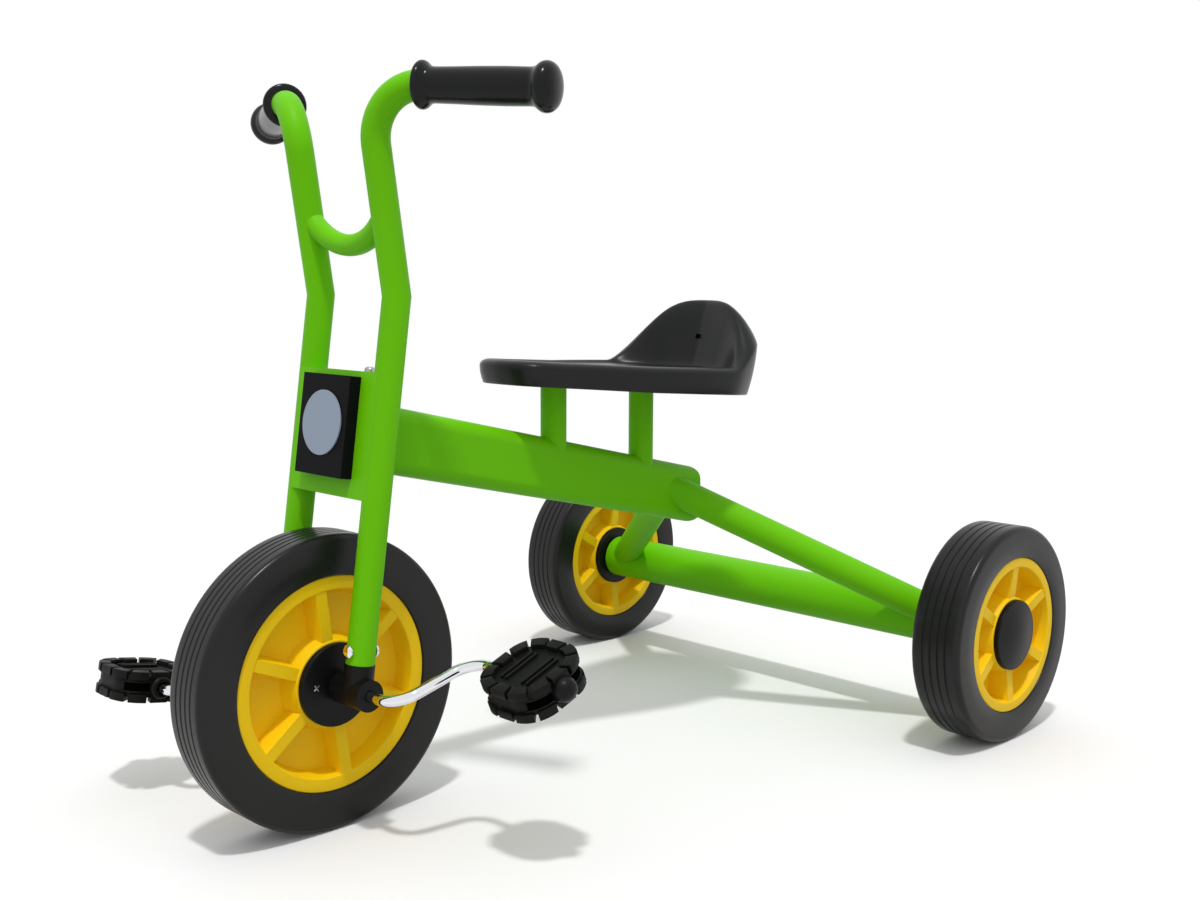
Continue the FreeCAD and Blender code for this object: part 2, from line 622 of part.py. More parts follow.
def crossbar_shape():
    """Bar bent to one arc in the plane of the upper legs, trimmed by the legs."""
    up = to_fork(Rotation(X, size.upper_lean).multVec(Z))
    kink = Vector(0, 0, size.leg_kink)
    centre = kink + up * (size.crossbar_rise + size.crossbar_radius)
    half = math.asin(leg_x / size.crossbar_radius)
    ends = [centre + X * sign * leg_x - up * size.crossbar_radius * math.cos(half) for sign in (-1, 1)]
    arc = Part.Arc(ends[0], centre - up * size.crossbar_radius, ends[1])
    start = arc.tangent(arc.FirstParameter)[0]
    ring = Part.Wire(Part.makeCircle(size.crossbar_diameter / 2, ends[0], start))
    bar = Part.Wire(arc.toShape()).makePipeShell([ring], True, False)
    return bar.cut(Part.makeCompound(leg_bars))


keep("handlebar_crossbar", feature("handlebar_crossbar", crossbar_shape(), fork_frame))

plate_front = -leg_radius
head_block = box("head_plate_blank", "sizes.fork_spacing", "sizes.plate_thickness",
                 "sizes.head_plate_high - sizes.head_plate_low",
                 fork_frame.multVec(Vector(-leg_x, plate_front, size.head_plate_low)), fork_turn)
keep("head_plate", cut("head_plate", head_block, both_legs))


def yoke(node, height):
    """Plate welded between the legs behind the front plate, bored for the steering pin."""
    front = plate_front + size.plate_thickness
    bridge = box(node + "_bridge", "sizes.fork_spacing",
                 "sizes.fork_tube_diameter - sizes.plate_thickness", "sizes.yoke_thickness",
                 fork_frame.multVec(Vector(-leg_x, front, height)), fork_turn)
    tongue = box(node + "_tongue", "2 * sizes.yoke_eye_radius",
                 "sizes.steering_setback + sizes.fork_tube_diameter / 2 - sizes.plate_thickness",
                 "sizes.yoke_thickness",
                 fork_frame.multVec(Vector(-size.yoke_eye_radius, front, height)), fork_turn)
    centre = steering_base + steering_axis * height
    eye = cylinder(node + "_eye", "sizes.yoke_eye_radius", "sizes.yoke_thickness", centre,
                   steering_axis)
    hole = cylinder(node + "_hole", "sizes.steering_pin_diameter / 2", "sizes.yoke_thickness",
                    centre, steering_axis)
    return keep(node, cut(node, fuse(node + "_blank", bridge, tongue, eye), both_legs, hole))


upper_yoke_base = size.head_plate_high - size.yoke_thickness
lower_yoke_base = size.head_plate_low + size.lower_yoke_lift
yoke("upper_yoke", upper_yoke_base)
yoke("lower_yoke", lower_yoke_base)

pin_radius, nut_height = size.steering_pin_diameter / 2, size.steering_nut_height
pin_end = size.head_plate_high + size.steering_pin_top
pin_profile = [(0, lower_yoke_base - nut_height), (pin_radius, lower_yoke_base - nut_height),
               (pin_radius, pin_end - 2.4), (pin_radius * 0.85, pin_end - 1.1),
               (pin_radius * 0.5, pin_end - 0.25), (0, pin_end)]
pin = turned_body("steering_pin", pin_profile)
pin.Placement = Placement(steering_base, fork_turn)
keep("steering_pin", pin)


def hexagon_nut(node, across, height, bore, base, axis):
    """Hexagon nut standing on a base point along an axis."""
    body = doc.addObject("PartDesign::Body", node)
    sketch = body_sketch(body, node + "_hexagon", "XY_Plane")
    reach = across / 2 / math.cos(math.pi / 6)
    outline(sketch, [(reach * math.cos(k * math.pi / 3), reach * math.sin(k * math.pi / 3))
                     for k in range(6)])
    sketch.addGeometry(Part.Circle(ORIGIN, Z, bore), False)
    pad = body.newObject("PartDesign::Pad", node + "_height")
    pad.Profile = sketch
    pad.Length = height
    body.Tip = pad
    body.Placement = Placement(base, aim(axis))
    return keep(node, body)


hexagon_nut("steering_nut", size.steering_nut_width, nut_height, pin_radius,
            steering_base + steering_axis * (lower_yoke_base - nut_height), steering_axis)

panel = box("lamp_panel", "sizes.panel_width", "sizes.panel_depth", "sizes.panel_height",
            fork_frame.multVec(Vector(-size.panel_width / 2, plate_front - size.panel_depth,
                                      size.panel_low)), fork_turn)
keep("lamp_panel", panel)
lens = cylinder("lamp_lens", "sizes.lens_diameter / 2", "sizes.lens_rise",
                fork_frame.multVec(Vector(0, plate_front - size.panel_depth, size.lens_height)),
                fork_turn.multVec(Y * -1))
keep("lamp_lens", lens)

for side_name, side in (LEFT, RIGHT):
    bore, body_radius = leg_radius, leg_radius + size.grip_wall
    flange, bulb, length = leg_radius + size.grip_flange, leg_radius + size.grip_bulb, size.grip_length
    tube_inside = size.handle_length - size.grip_start
    grip_profile = [(bore, 0), (flange - 2, 0), (flange, 2.5), (flange, 5), (flange - 2, 7.5),
                    (body_radius + 1, 9), (body_radius, 12), (body_radius + 1.2, length - 30),
                    (body_radius + 0.6, length - 19), (bulb - 2.5, length - 16.5),
                    (bulb, length - 12), (bulb, length - 8), (bulb - 3, length - 3.5),
                    (bulb - 8, length - 0.8), (0, length), (0, tube_inside), (bore, tube_inside)]
    grip = turned_body(f"{side_name}_grip", grip_profile)
    start = handle_corner(side) + handle_direction(side) * size.grip_start
    grip.Placement = fork_frame * Placement(start, aim(handle_direction(side)))
    keep(f"{side_name}_grip", grip)

# bearing housings at the feet of the legs, each held by a bolt through the leg
for side_name, side in (LEFT, RIGHT):
    foot = fork_frame.multVec(Vector(side * leg_x, 0, 0))
    start = front_axle + X * side * size.housing_inner
    barrel = cylinder(f"{side_name}_housing_barrel", "sizes.housing_diameter / 2",
                      "sizes.housing_outer - sizes.housing_inner", start, X * side)
    collar = cylinder(f"{side_name}_housing_collar",
                      "sizes.fork_tube_diameter / 2 + sizes.collar_step", "sizes.leg_foot", foot,
                      steering_axis)
    spigot = cylinder(f"{side_name}_housing_spigot", "sizes.fork_tube_diameter / 2 - sizes.tube_wall",
                      "sizes.leg_foot + sizes.spigot_length", foot, steering_axis)
    bore = cylinder(f"{side_name}_housing_bore", "sizes.crank_rod_diameter / 2 + sizes.turning_gap",
                    "sizes.housing_outer - sizes.housing_inner", start, X * side)
    housing = fuse(f"{side_name}_housing_solid", barrel, collar, spigot)
    keep(f"{side_name}_hub_housing",
         cut(f"{side_name}_hub_housing", housing, bore, bolt_holes[side_name]))
    shank, head = size.housing_bolt_diameter / 2, size.housing_bolt_head / 2
    rise = size.housing_bolt_head_height
    half_profile = [(0, 0), (head * 0.6, rise * 0.1), (head, rise * 0.55), (head, rise), (shank, rise)]
    bolt = turned_body(f"{side_name}_housing_bolt", half_profile
                       + [(radius, 2 * bolt_half - height) for radius, height in half_profile[::-1]])
    bolt.Placement = Placement(bolt_starts[side_name], aim(bolt_axis))
    keep(f"{side_name}_housing_bolt", bolt)

# ---- crank and pedals ------------------------------------------------------------------------

pedal_arm = Rotation(X, size.crank_angle).multVec(Y) * size.crank_throw
spindle_end = size.pedal_inner_end + size.pedal_length - size.spindle_cover


def crank_shape():
    """One rod through the hub, with an arm and a spindle at each end, half a turn apart."""
    shoulder, outreach, end = size.crank_shoulder, size.crank_outreach, spindle_end
    over = size.pedal_set_over
    points = [X * (over - end) - pedal_arm, X * -outreach - pedal_arm, X * -shoulder,
              X * shoulder, X * outreach + pedal_arm, X * (over + end) + pedal_arm]
    return swept(points, [size.crank_bend] * 4, size.crank_rod_diameter / 2)


keep("crank", feature("crank", crank_shape(), Placement(front_axle, Rotation())))


def pedal(side_name, side, tilt):
    """Moulded pedal with rounded corners on its spindle, and the ball that ends it."""
    body = doc.addObject("PartDesign::Body", f"{side_name}_pedal_blank")
    sketch = body_sketch(body, f"{side_name}_pedal_plan", "XY_Plane")
    long, wide, corner = size.pedal_length, size.pedal_width / 2, size.pedal_corner
    corners = [Vector(0, -wide, 0), Vector(long, -wide, 0), Vector(long, wide, 0), Vector(0, wide, 0)]
    start = Vector(long / 2, -wide, 0)
    ring = [start] + corners[1:] + corners[:1] + [start]
    for edge in rounded_path(ring, [corner] * 4).Edges:
        curve = edge.Curve
        if edge.Curve.TypeId == "Part::GeomLine":
            sketch.addGeometry(Part.LineSegment(edge.Vertexes[0].Point, edge.Vertexes[1].Point), False)
        else:
            sketch.addGeometry(Part.ArcOfCircle(curve, edge.FirstParameter, edge.LastParameter), False)
    pad = body.newObject("PartDesign::Pad", f"{side_name}_pedal_slab")
    pad.Profile = sketch
    pad.Midplane = True
    pad.Length = size.pedal_thickness
    body.Tip = pad
    turn = Rotation(X, tilt) * Rotation(Z, 0 if side > 0 else 180)
    inner = front_axle + X * (side * size.pedal_inner_end + size.pedal_set_over) + pedal_arm * side
    body.Placement = Placement(inner, turn)
    bore = cylinder(f"{side_name}_pedal_bore", "sizes.crank_rod_diameter / 2 + sizes.turning_gap",
                    "sizes.pedal_length - sizes.spindle_cover + sizes.spindle_end_gap", inner, X * side)
    keep(f"{side_name}_pedal", cut(f"{side_name}_pedal_bored", body, bore))
    ball = doc.addObject("Part::Sphere", f"{side_name}_pedal_sphere")
    bind(ball, Radius="sizes.pedal_end_diameter / 2")
    ball.Placement = Placement(inner + X * side * size.pedal_length, Rotation())
    block = box(f"{side_name}_pedal_end_trim", "sizes.pedal_length", "sizes.pedal_width",
                "sizes.pedal_width", inner + Vector(0 if side > 0 else -size.pedal_length,
                -size.pedal_width / 2, -size.pedal_width / 2))
    keep(f"{side_name}_pedal_end", cut(f"{side_name}_pedal_ball", ball, block))


pedal("left", 1, size.left_pedal_tilt)
pedal("right", -1, size.right_pedal_tilt)

# ---- checks and files ------------------------------------------------------------------------

doc.recompute()
for thing in doc.Objects:
    if "Invalid" in thing.State or "Error" in thing.State:
        raise RuntimeError(f"{thing.Name} failed: {thing.State}")
os.makedirs("parts", exist_ok=True)
for thing in parts:
    shape = thing.Shape
    if shape.isNull() or not shape.isValid() or len(shape.Solids) != 1:
        raise RuntimeError(f"{thing.Label}: null, invalid or {len(shape.Solids)} solids")
    shape.exportStep(f"parts/{thing.Label}.step")
    box_now = shape.BoundBox
    print(f"{thing.Label:26s} {shape.Volume:11.0f} mm3  x {box_now.XMin:7.1f} {box_now.XMax:7.1f}"
          f"  y {box_now.YMin:7.1f} {box_now.YMax:7.1f}  z {box_now.ZMin:7.1f} {box_now.ZMax:7.1f}")
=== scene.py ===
import json
import math

import bmesh
import bpy
import numpy as np
from mathutils import Euler, Matrix, Vector


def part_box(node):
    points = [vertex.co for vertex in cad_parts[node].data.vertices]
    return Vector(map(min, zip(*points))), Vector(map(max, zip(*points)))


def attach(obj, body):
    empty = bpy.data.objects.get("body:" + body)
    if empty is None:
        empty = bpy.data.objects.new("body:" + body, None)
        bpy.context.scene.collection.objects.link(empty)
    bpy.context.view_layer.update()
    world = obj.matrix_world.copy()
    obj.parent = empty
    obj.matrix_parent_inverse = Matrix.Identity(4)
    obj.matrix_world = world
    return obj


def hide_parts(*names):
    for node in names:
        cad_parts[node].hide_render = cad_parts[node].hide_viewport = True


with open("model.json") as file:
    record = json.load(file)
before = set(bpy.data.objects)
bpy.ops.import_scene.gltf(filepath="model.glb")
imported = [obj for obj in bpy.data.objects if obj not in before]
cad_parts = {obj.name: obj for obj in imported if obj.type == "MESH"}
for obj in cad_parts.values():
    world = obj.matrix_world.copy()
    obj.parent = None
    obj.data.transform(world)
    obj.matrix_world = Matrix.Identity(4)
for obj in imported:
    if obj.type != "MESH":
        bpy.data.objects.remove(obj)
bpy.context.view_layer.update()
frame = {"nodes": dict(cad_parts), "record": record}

# Toddler tricycle, in metres: +Z up, the rider faces -Y, +X is the rider's left. Places come from
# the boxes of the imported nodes, so that every piece lies where the frame carries it.

MM = 0.001
LEFT, RIGHT = ("left", 1), ("right", -1)


def middle(node):
    """Middle of a node's box."""
    low, high = (np.array(corner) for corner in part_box(node))
    return (low + high) / 2


def extent(node):
    """Size of a node's box along x, y and z."""
    low, high = (np.array(corner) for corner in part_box(node))
    return high - low


front_axle = middle("front_tyre")
rake = math.radians(8)
along_leg = np.array([0, math.sin(rake), math.cos(rake)])
behind_leg = np.array([0, math.cos(rake), -math.sin(rake)])
leg_x = 51.6  # in mm, as on_fork takes it
leg_radius = 11.3 * MM


def on_fork(x, back, up):
    """Place from the front axle: across, square behind the legs and up along them, in mm."""
    return front_axle + np.array([x, 0, 0]) * MM + behind_leg * back * MM + along_leg * up * MM


# ---- mesh helpers ----------------------------------------------------------------------------

def make_object(name, vertices, faces, smooth=True):
    """Object at the origin from an array of points and a list of faces."""
    mesh = bpy.data.meshes.new(name)
    mesh.from_pydata(np.asarray(vertices, float).tolist(), [], [list(map(int, f)) for f in faces])
    mesh.polygons.foreach_set("use_smooth", np.full(len(mesh.polygons), smooth))
    mesh.validate()
    mesh.update()
    piece = bpy.data.objects.new(name, mesh)
    bpy.context.scene.collection.objects.link(piece)
    return piece


def grid_faces(rows, columns, wrap_rows, wrap_columns, start=0):
    """Quads of a grid of points, joined end to end where it wraps."""
    r = np.arange(rows if wrap_rows else rows - 1)
    c = np.arange(columns if wrap_columns else columns - 1)
    r, c = (a.ravel() for a in np.meshgrid(r, c, indexing="ij"))
    r2, c2 = (r + 1) % rows, (c + 1) % columns
    quad = np.stack([r * columns + c, r * columns + c2, r2 * columns + c2, r2 * columns + c], 1)
    return (quad + start).tolist()


def outward(piece):
    """Merge doubled points and turn all faces outwards."""
    work = bmesh.new()
    work.from_mesh(piece.data)
    bmesh.ops.remove_doubles(work, verts=work.verts, dist=1e-6)
    bmesh.ops.recalc_face_normals(work, faces=work.faces)
    work.to_mesh(piece.data)
    work.free()
    return piece


def shell(name, *sheets, sharp=30):
    """One object from several closed grids, each given as points, wrap of rows, wrap of columns."""
    points, faces, start = [], [], 0
    for grid, wrap_rows, wrap_columns in sheets:
        rows, columns = grid.shape[:2]
        points.append(grid.reshape(-1, 3))
        faces += grid_faces(rows, columns, wrap_rows, wrap_columns, start)
        if not wrap_rows:
            faces += [list(range(start, start + columns)),
                      list(range(start + (rows - 1) * columns, start + rows * columns))]
        start += rows * columns
    piece = outward(make_object(name, np.concatenate(points), faces))
    piece.data.set_sharp_from_angle(angle=math.radians(sharp))
    return piece


def frame_of(axis):
    """Two unit vectors square to an axis."""
    axis = np.asarray(axis, float) / np.linalg.norm(axis)
    guide = np.array([0, 0, 1.0]) if abs(axis[2]) < 0.8 else np.array([0, 1.0, 0])
    first = np.cross(guide, axis)
    first /= np.linalg.norm(first)
    return axis, first, np.cross(axis, first)


def turned(profile, base, axis, segments=96):
    """Surface of revolution: each (height, radius) of the profile is carried round the axis."""
    axis, first, second = frame_of(axis)
    height, radius = np.array(profile, float).T
    angle = np.linspace(0, 2 * np.pi, segments, endpoint=False)
    ring = np.cos(angle)[:, None] * first + np.sin(angle)[:, None] * second
    grid = np.asarray(base) + height[:, None, None] * axis + radius[:, None, None] * ring[None]
    return grid, False, True


def ring_turned(profile, base, axis, segments=128):
    """Surface of revolution of a closed profile that does not touch the axis."""
    grid, _, _ = turned(profile, base, axis, segments)
    return grid, True, True


def rounded(points, radius, steps=5):
    """Closed outline with each corner replaced by an arc, as equally spaced angles on a fillet."""
    points = np.array(points, float)
    radius = np.broadcast_to(radius, len(points))
    result = []
    neighbours = zip(np.roll(points, 1, 0), points, np.roll(points, -1, 0), radius)
    for before, corner, after, r in neighbours:
        to_before, to_after = before - corner, after - corner
        lengths = np.linalg.norm(to_before), np.linalg.norm(to_after)
        to_before, to_after = to_before / lengths[0], to_after / lengths[1]
        half = np.arccos(np.clip(to_before @ to_after, -1, 1)) / 2
        if r <= 0 or half > 1.56:
            result.append(corner[None])
            continue
        setback = min(r / np.tan(half), lengths[0] * 0.49, lengths[1] * 0.49)
        r = setback * np.tan(half)
        bisector = to_before + to_after
        centre = corner + bisector / np.linalg.norm(bisector) * r / np.sin(half)
        a, b = corner + to_before * setback - centre, corner + to_after * setback - centre
        share = np.linspace(0, 1, steps)[:, None]
        arc = a * (1 - share) + b * share
        result.append(centre + arc / np.linalg.norm(arc, axis=1)[:, None] * r)
    return np.concatenate(result)


def tube(path, radius, segments=40):
    """Round bar along a path: rings square to the mean direction at each point, without twist."""
    path = np.asarray(path, float)
    run = np.diff(path, axis=0)
    run /= np.linalg.norm(run, axis=1)[:, None]
    tangent = np.concatenate([run[:1], run[:-1] + run[1:], run[-1:]])
    tangent /= np.linalg.norm(tangent, axis=1)[:, None]
    _, side, _ = frame_of(tangent[0])
    sides = []
    for direction in tangent:
        side = side - direction * (side @ direction)
        side = side / np.linalg.norm(side)
        sides.append(side)
    sides = np.array(sides)
    other = np.cross(tangent, sides)
    stretch = np.ones(len(path))
    stretch[1:-1] = 1 / np.clip((tangent[1:-1] * run[1:]).sum(1), 0.3, 1)
    bend = np.zeros_like(tangent)
    bend[1:-1] = run[1:] - run[:-1]
    bend /= np.maximum(np.linalg.norm(bend, axis=1), 1e-9)[:, None]
    angle = np.linspace(0, 2 * np.pi, segments, endpoint=False)
    ring = (np.cos(angle)[None, :, None] * sides[:, None]
            + np.sin(angle)[None, :, None] * other[:, None])
    along_bend = (ring * bend[:, None]).sum(2, keepdims=True) * bend[:, None]
    ring = ring + along_bend * (stretch - 1)[:, None, None]
    radius = np.broadcast_to(radius, len(path))
    return path[:, None] + ring * radius[:, None, None], False, True


def arc_path(points, radii, steps=16):
    """Path through points with each inner corner replaced by a tangent arc, or kept sharp for 0."""
    points = [np.array(p, float) for p in points]
    result = [points[0][None]]
    for before, corner, after, radius in zip(points, points[1:], points[2:], radii):
        into = (corner - before) / np.linalg.norm(corner - before)
        out = (after - corner) / np.linalg.norm(after - corner)
        if radius <= 0:
            result.append(corner[None])
            continue
        turn = np.arccos(np.clip(into @ out, -1, 1))
        inward = (out - into) / np.linalg.norm(out - into)
        centre = corner + inward * radius / np.cos(turn / 2)
        angle = np.linspace(-turn / 2, turn / 2, steps)[:, None]
        forward = (into + out) / np.linalg.norm(into + out)
        result.append(centre - inward * radius * np.cos(angle) + forward * radius * np.sin(angle))
    result.append(points[-1][None])
    return np.concatenate(result)


def block(outline, low, high, base, directions, edge=0.4 * MM, steps=3):
    """Prism of a closed outline between two heights, with a small round on both end edges."""
    across, along, up = (np.array(d, float) for d in directions)
    outline = np.array(outline, float)
    centre = outline.mean(0)
    span = np.abs(outline - centre).max(0)
    angle = np.linspace(0, np.pi / 2, steps)
    inset = np.concatenate([1 - np.sin(angle), (1 - np.sin(angle))[::-1]]) * edge
    rise = edge * (1 - np.cos(angle))
    height = np.concatenate([low + rise, (high - rise)[::-1]])
    scale = 1 - inset[:, None] / span[None]
    ring = centre + (outline - centre)[None] * scale[:, None]
    grid = (np.asarray(base) + ring[..., :1] * across + ring[..., 1:] * along
            + height[:, None, None] * up)
    return grid, False, True


# ---- materials -------------------------------------------------------------------------------

def linear(red, green, blue):
    """Linear colour of an sRGB colour given from 0 to 255."""
    value = np.array([red, green, blue]) / 255
    return tuple(np.where(value <= 0.04045, value / 12.92, ((value + 0.055) / 1.055) ** 2.4)) + (1,)


def tone_group():
    """Slight cloudy change of a colour and of its roughness, with a fine grain height."""
    group = bpy.data.node_groups.new("moulded_tone", "ShaderNodeTree")
    for name, kind, value in (("Colour", "NodeSocketColor", (0.5, 0.5, 0.5, 1)),
                              ("Cloud scale", "NodeSocketFloat", 20.0),
                              ("Cloud amount", "NodeSocketFloat", 0.05),
                              ("Roughness", "NodeSocketFloat", 0.4),
                              ("Roughness change", "NodeSocketFloat", 0.05),
                              ("Grain scale", "NodeSocketFloat", 1500.0)):
        socket = group.interface.new_socket(name, in_out="INPUT", socket_type=kind)
        socket.default_value = value
    for name, kind in (("Colour", "NodeSocketColor"), ("Roughness", "NodeSocketFloat"),
                       ("Grain", "NodeSocketFloat")):
        group.interface.new_socket(name, in_out="OUTPUT", socket_type=kind)
    nodes, links = group.nodes, group.links
    given, result = nodes.new("NodeGroupInput"), nodes.new("NodeGroupOutput")
    place = nodes.new("ShaderNodeTexCoord")
    cloud, grain = nodes.new("ShaderNodeTexNoise"), nodes.new("ShaderNodeTexNoise")
    cloud.inputs["Detail"].default_value = 4
    grain.inputs["Detail"].default_value = 2
    links.new(place.outputs["Object"], cloud.inputs["Vector"])
    links.new(place.outputs["Object"], grain.inputs["Vector"])
    links.new(given.outputs["Cloud scale"], cloud.inputs["Scale"])
    links.new(given.outputs["Grain scale"], grain.inputs["Scale"])
    centred = nodes.new("ShaderNodeMath")
    centred.operation = "SUBTRACT"
    centred.inputs[1].default_value = 0.5
    links.new(cloud.outputs["Fac"], centred.inputs[0])
    lighter = nodes.new("ShaderNodeMath")
    lighter.operation = "MULTIPLY_ADD"
    lighter.inputs[2].default_value = 1
    links.new(centred.outputs[0], lighter.inputs[0])
    links.new(given.outputs["Cloud amount"], lighter.inputs[1])
    shade = nodes.new("ShaderNodeHueSaturation")
    links.new(given.outputs["Colour"], shade.inputs["Color"])
    links.new(lighter.outputs[0], shade.inputs["Value"])
    links.new(shade.outputs["Color"], result.inputs["Colour"])
    rough = nodes.new("ShaderNodeMath")
    rough.operation = "MULTIPLY_ADD"
    links.new(centred.outputs[0], rough.inputs[0])
    links.new(given.outputs["Roughness change"], rough.inputs[1])
    links.new(given.outputs["Roughness"], rough.inputs[2])
    links.new(rough.outputs[0], result.inputs["Roughness"])
    links.new(grain.outputs["Fac"], result.inputs["Grain"])
    return group


moulded_tone = tone_group()


def finish(name, colour, roughness, cloud=0.06, cloud_scale=18, change=0.08, grain=1200,
           bump=0.05, metallic=0.0, specular=0.5):
    """Material of one finish: clouded colour and roughness, and a fine grain."""
    material = bpy.data.materials.new(name)
    material.use_nodes = True
    nodes, links = material.node_tree.nodes, material.node_tree.links
    surface = nodes["Principled BSDF"]
    surface.inputs["Metallic"].default_value = metallic
    surface.inputs["Specular IOR Level"].default_value = specular
    tone = nodes.new("ShaderNodeGroup")
    tone.node_tree = moulded_tone
    values = {"Colour": colour, "Cloud scale": cloud_scale, "Cloud amount": cloud,
              "Roughness": roughness, "Roughness change": change, "Grain scale": grain}
    for socket, value in values.items():
        tone.inputs[socket].default_value = value
    grain_bump = nodes.new("ShaderNodeBump")
    grain_bump.inputs["Strength"].default_value = bump
    grain_bump.inputs["Distance"].default_value = 0.1 * MM
    links.new(tone.outputs["Colour"], surface.inputs["Base Color"])
    links.new(tone.outputs["Roughness"], surface.inputs["Roughness"])
    links.new(tone.outputs["Grain"], grain_bump.inputs["Height"])
    links.new(grain_bump.outputs["Normal"], surface.inputs["Normal"])
    return material


green_paint = finish("green_powder_coat", linear(108, 198, 4), 0.45, cloud=0.03, grain=700,
                     bump=0.05, specular=0.12)
yellow_plastic = finish("yellow_nylon", linear(250, 207, 12), 0.45, cloud=0.04, grain=1500, bump=0.05,
                        specular=0.2)
tyre_rubber = finish("tyre_rubber", linear(23, 24, 23), 0.3, cloud=0.12, grain=1800, bump=0.05,
                     specular=0.25)
black_plastic = finish("black_nylon", linear(14, 14, 14), 0.4, cloud=0.1, grain=1500, bump=0.06,
                       specular=0.15)
pedal_plastic = finish("pedal_plastic", linear(17, 18, 16), 0.5, cloud=0.2, grain=1300, bump=0.15,
                       specular=0.12)
seat_plastic = finish("seat_plastic", linear(27, 28, 28), 0.3, cloud=0.06, grain=1600, bump=0.05,
                      specular=0.2)
grip_rubber = finish("grip_vinyl", linear(20, 21, 22), 0.2, cloud=0.06, grain=1500, bump=0.03,
                     specular=0.18)
panel_black = finish("panel_film", linear(14, 14, 17), 0.5, cloud=0.04, grain=1500, bump=0.02,
                     specular=0.05)
lens_grey = finish("lens_grey", linear(150, 162, 180), 0.5, cloud=0.02, grain=1500, bump=0.01,
                   specular=0.15)
chrome = finish("chrome_plate", linear(225, 226, 230), 0.06, cloud=0.02, change=0.03, bump=0.01,
                metallic=1.0)
zinc_steel = finish("zinc_plate", linear(178, 178, 182), 0.32, cloud=0.1, metallic=1.0, bump=0.03)
white_nylon = finish("white_nylon", linear(225, 225, 220), 0.45)
# Near-black matt finish that paints shade: it darkens the pedal wall slots and the seat-back hole to
# stand in for the shade inside these openings.
painted_shade_black = finish("painted_shade_black", linear(5, 5, 5), 0.9, specular=0.0)

CAD_FINISHES = {
    "green_paint": green_paint, "tyre_rubber": tyre_rubber, "yellow_plastic": yellow_plastic,
    "black_plastic": black_plastic, "seat_plastic": seat_plastic, "grip_rubber": grip_rubber,
    "panel_black": panel_black, "lens_grey": lens_grey, "chrome": chrome, "zinc_steel": zinc_steel,
    "white_nylon": white_nylon,
}


def soften(thing, width):
    """Weld a carried-over node's loose triangles, round its hard edges, and shade it evenly."""
    weld = thing.modifiers.new("weld", "WELD")
    weld.merge_threshold = 0.01 * MM
    bevel = thing.modifiers.new("edge_round", "BEVEL")
    bevel.width = width
    bevel.segments = 2
    bevel.limit_method = "ANGLE"
    bevel.angle_limit = math.radians(40)
    bevel.harden_normals = True
    even = thing.modifiers.new("even_shading", "WEIGHTED_NORMAL")
    even.keep_sharp = True


slot_of = {entry["node"]: entry["material_slot"] for entry in frame["record"]["subparts"]}
for node, thing in frame["nodes"].items():
    thing.data.materials.clear()
    thing.data.materials.append(CAD_FINISHES[slot_of[node]])


def add(piece, body, slot_name, material, *nodes):
    """Give a new piece its finish, its body and the nodes that it stands for."""
    piece.data.materials.append(material)
    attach(piece, body)
    if nodes:
        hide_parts(*nodes)
    return piece


# ---- wheels ----------------------------------------------------------------------------------

def tyre_profile(radius, width, inner):
    """Closed tyre section: flat sides with an eased rim edge, round shoulders, five tread bands."""
    half, shoulder, depth = width / 2, 5.5 * MM, 1.3 * MM
    angle = np.linspace(0, np.pi / 2, 9)
    corner = np.stack([half - shoulder + shoulder * np.cos(angle),
                       radius - shoulder + shoulder * np.sin(angle)], 1)
    pitch = 2 * (half - shoulder) / 5
    wave = np.linspace(-0.5, 0.5, 7)
    grooves = [np.stack([middle_x - wave * 2.4 * MM,
                         radius - depth * np.cos(np.pi * wave) ** 0.7], 1)
               for middle_x in (1.5 * pitch, 0.5 * pitch, -0.5 * pitch, -1.5 * pitch)]
    right = [(half, (radius + inner) / 2), (half, inner + 2.2 * MM),
             (half - 0.6 * MM, inner + 0.7 * MM), (half - 2 * MM, inner)]
    left = [(-x, r) for x, r in right[::-1]]
    return np.concatenate([left, [(-x, r) for x, r in corner[:-1]], (corner[-1:] * [-1, 1]),
                           np.concatenate(grooves)[::-1], corner[::-1], right])


def wheel_sheets(centre, radius, band, width, hub_half, first_spoke):
    """Turned hub, web and ring, and six tapered ribs on each face of the web."""
    half, web, hub = width / 2, 3 * MM, 35 * MM
    inner = radius - band
    section = [(-half, radius), (-half, inner), (-web, inner - 4 * MM), (-web, hub + 5 * MM),
               (-hub_half, hub), (-hub_half, 4 * MM), (hub_half, 4 * MM), (hub_half, hub),
               (web, hub + 5 * MM), (web, inner - 4 * MM), (half, inner), (half, radius)]
    fillets = [0.8 * MM, 1.2 * MM, 2.5 * MM, 2.5 * MM, 1 * MM, 0]
    sheets = [ring_turned(rounded(section, fillets + fillets[::-1]), centre, (1, 0, 0))]
    length = np.linspace(hub - 2 * MM, inner + 2 * MM, 9)
    for number in range(6):
        angle = math.radians(first_spoke + 60 * number)
        radial = np.array([0, -math.sin(angle), math.cos(angle)])
        across = np.array([0, math.cos(angle), math.sin(angle)])
        for side in (1, -1):
            top = np.interp(length, [length[0], length[-1]], [hub_half - 1.2 * MM, half - 0.6 * MM])
            foot, face = 7.5 * MM, 4.8 * MM
            profile_x = np.array([-foot, -face - 0.5 * MM, -face, face, face + 0.5 * MM, foot])
            profile_h = np.array([0, 0.92, 1, 1, 0.92, 0])
            grid = (centre + length[:, None, None] * radial + profile_x[None, :, None] * across
                    + (web * 0.6 + profile_h[None, :, None] * (top[:, None, None] - web * 0.6))
                    * np.array([side, 0, 0]))
            sheets.append((grid, False, True))
    return sheets


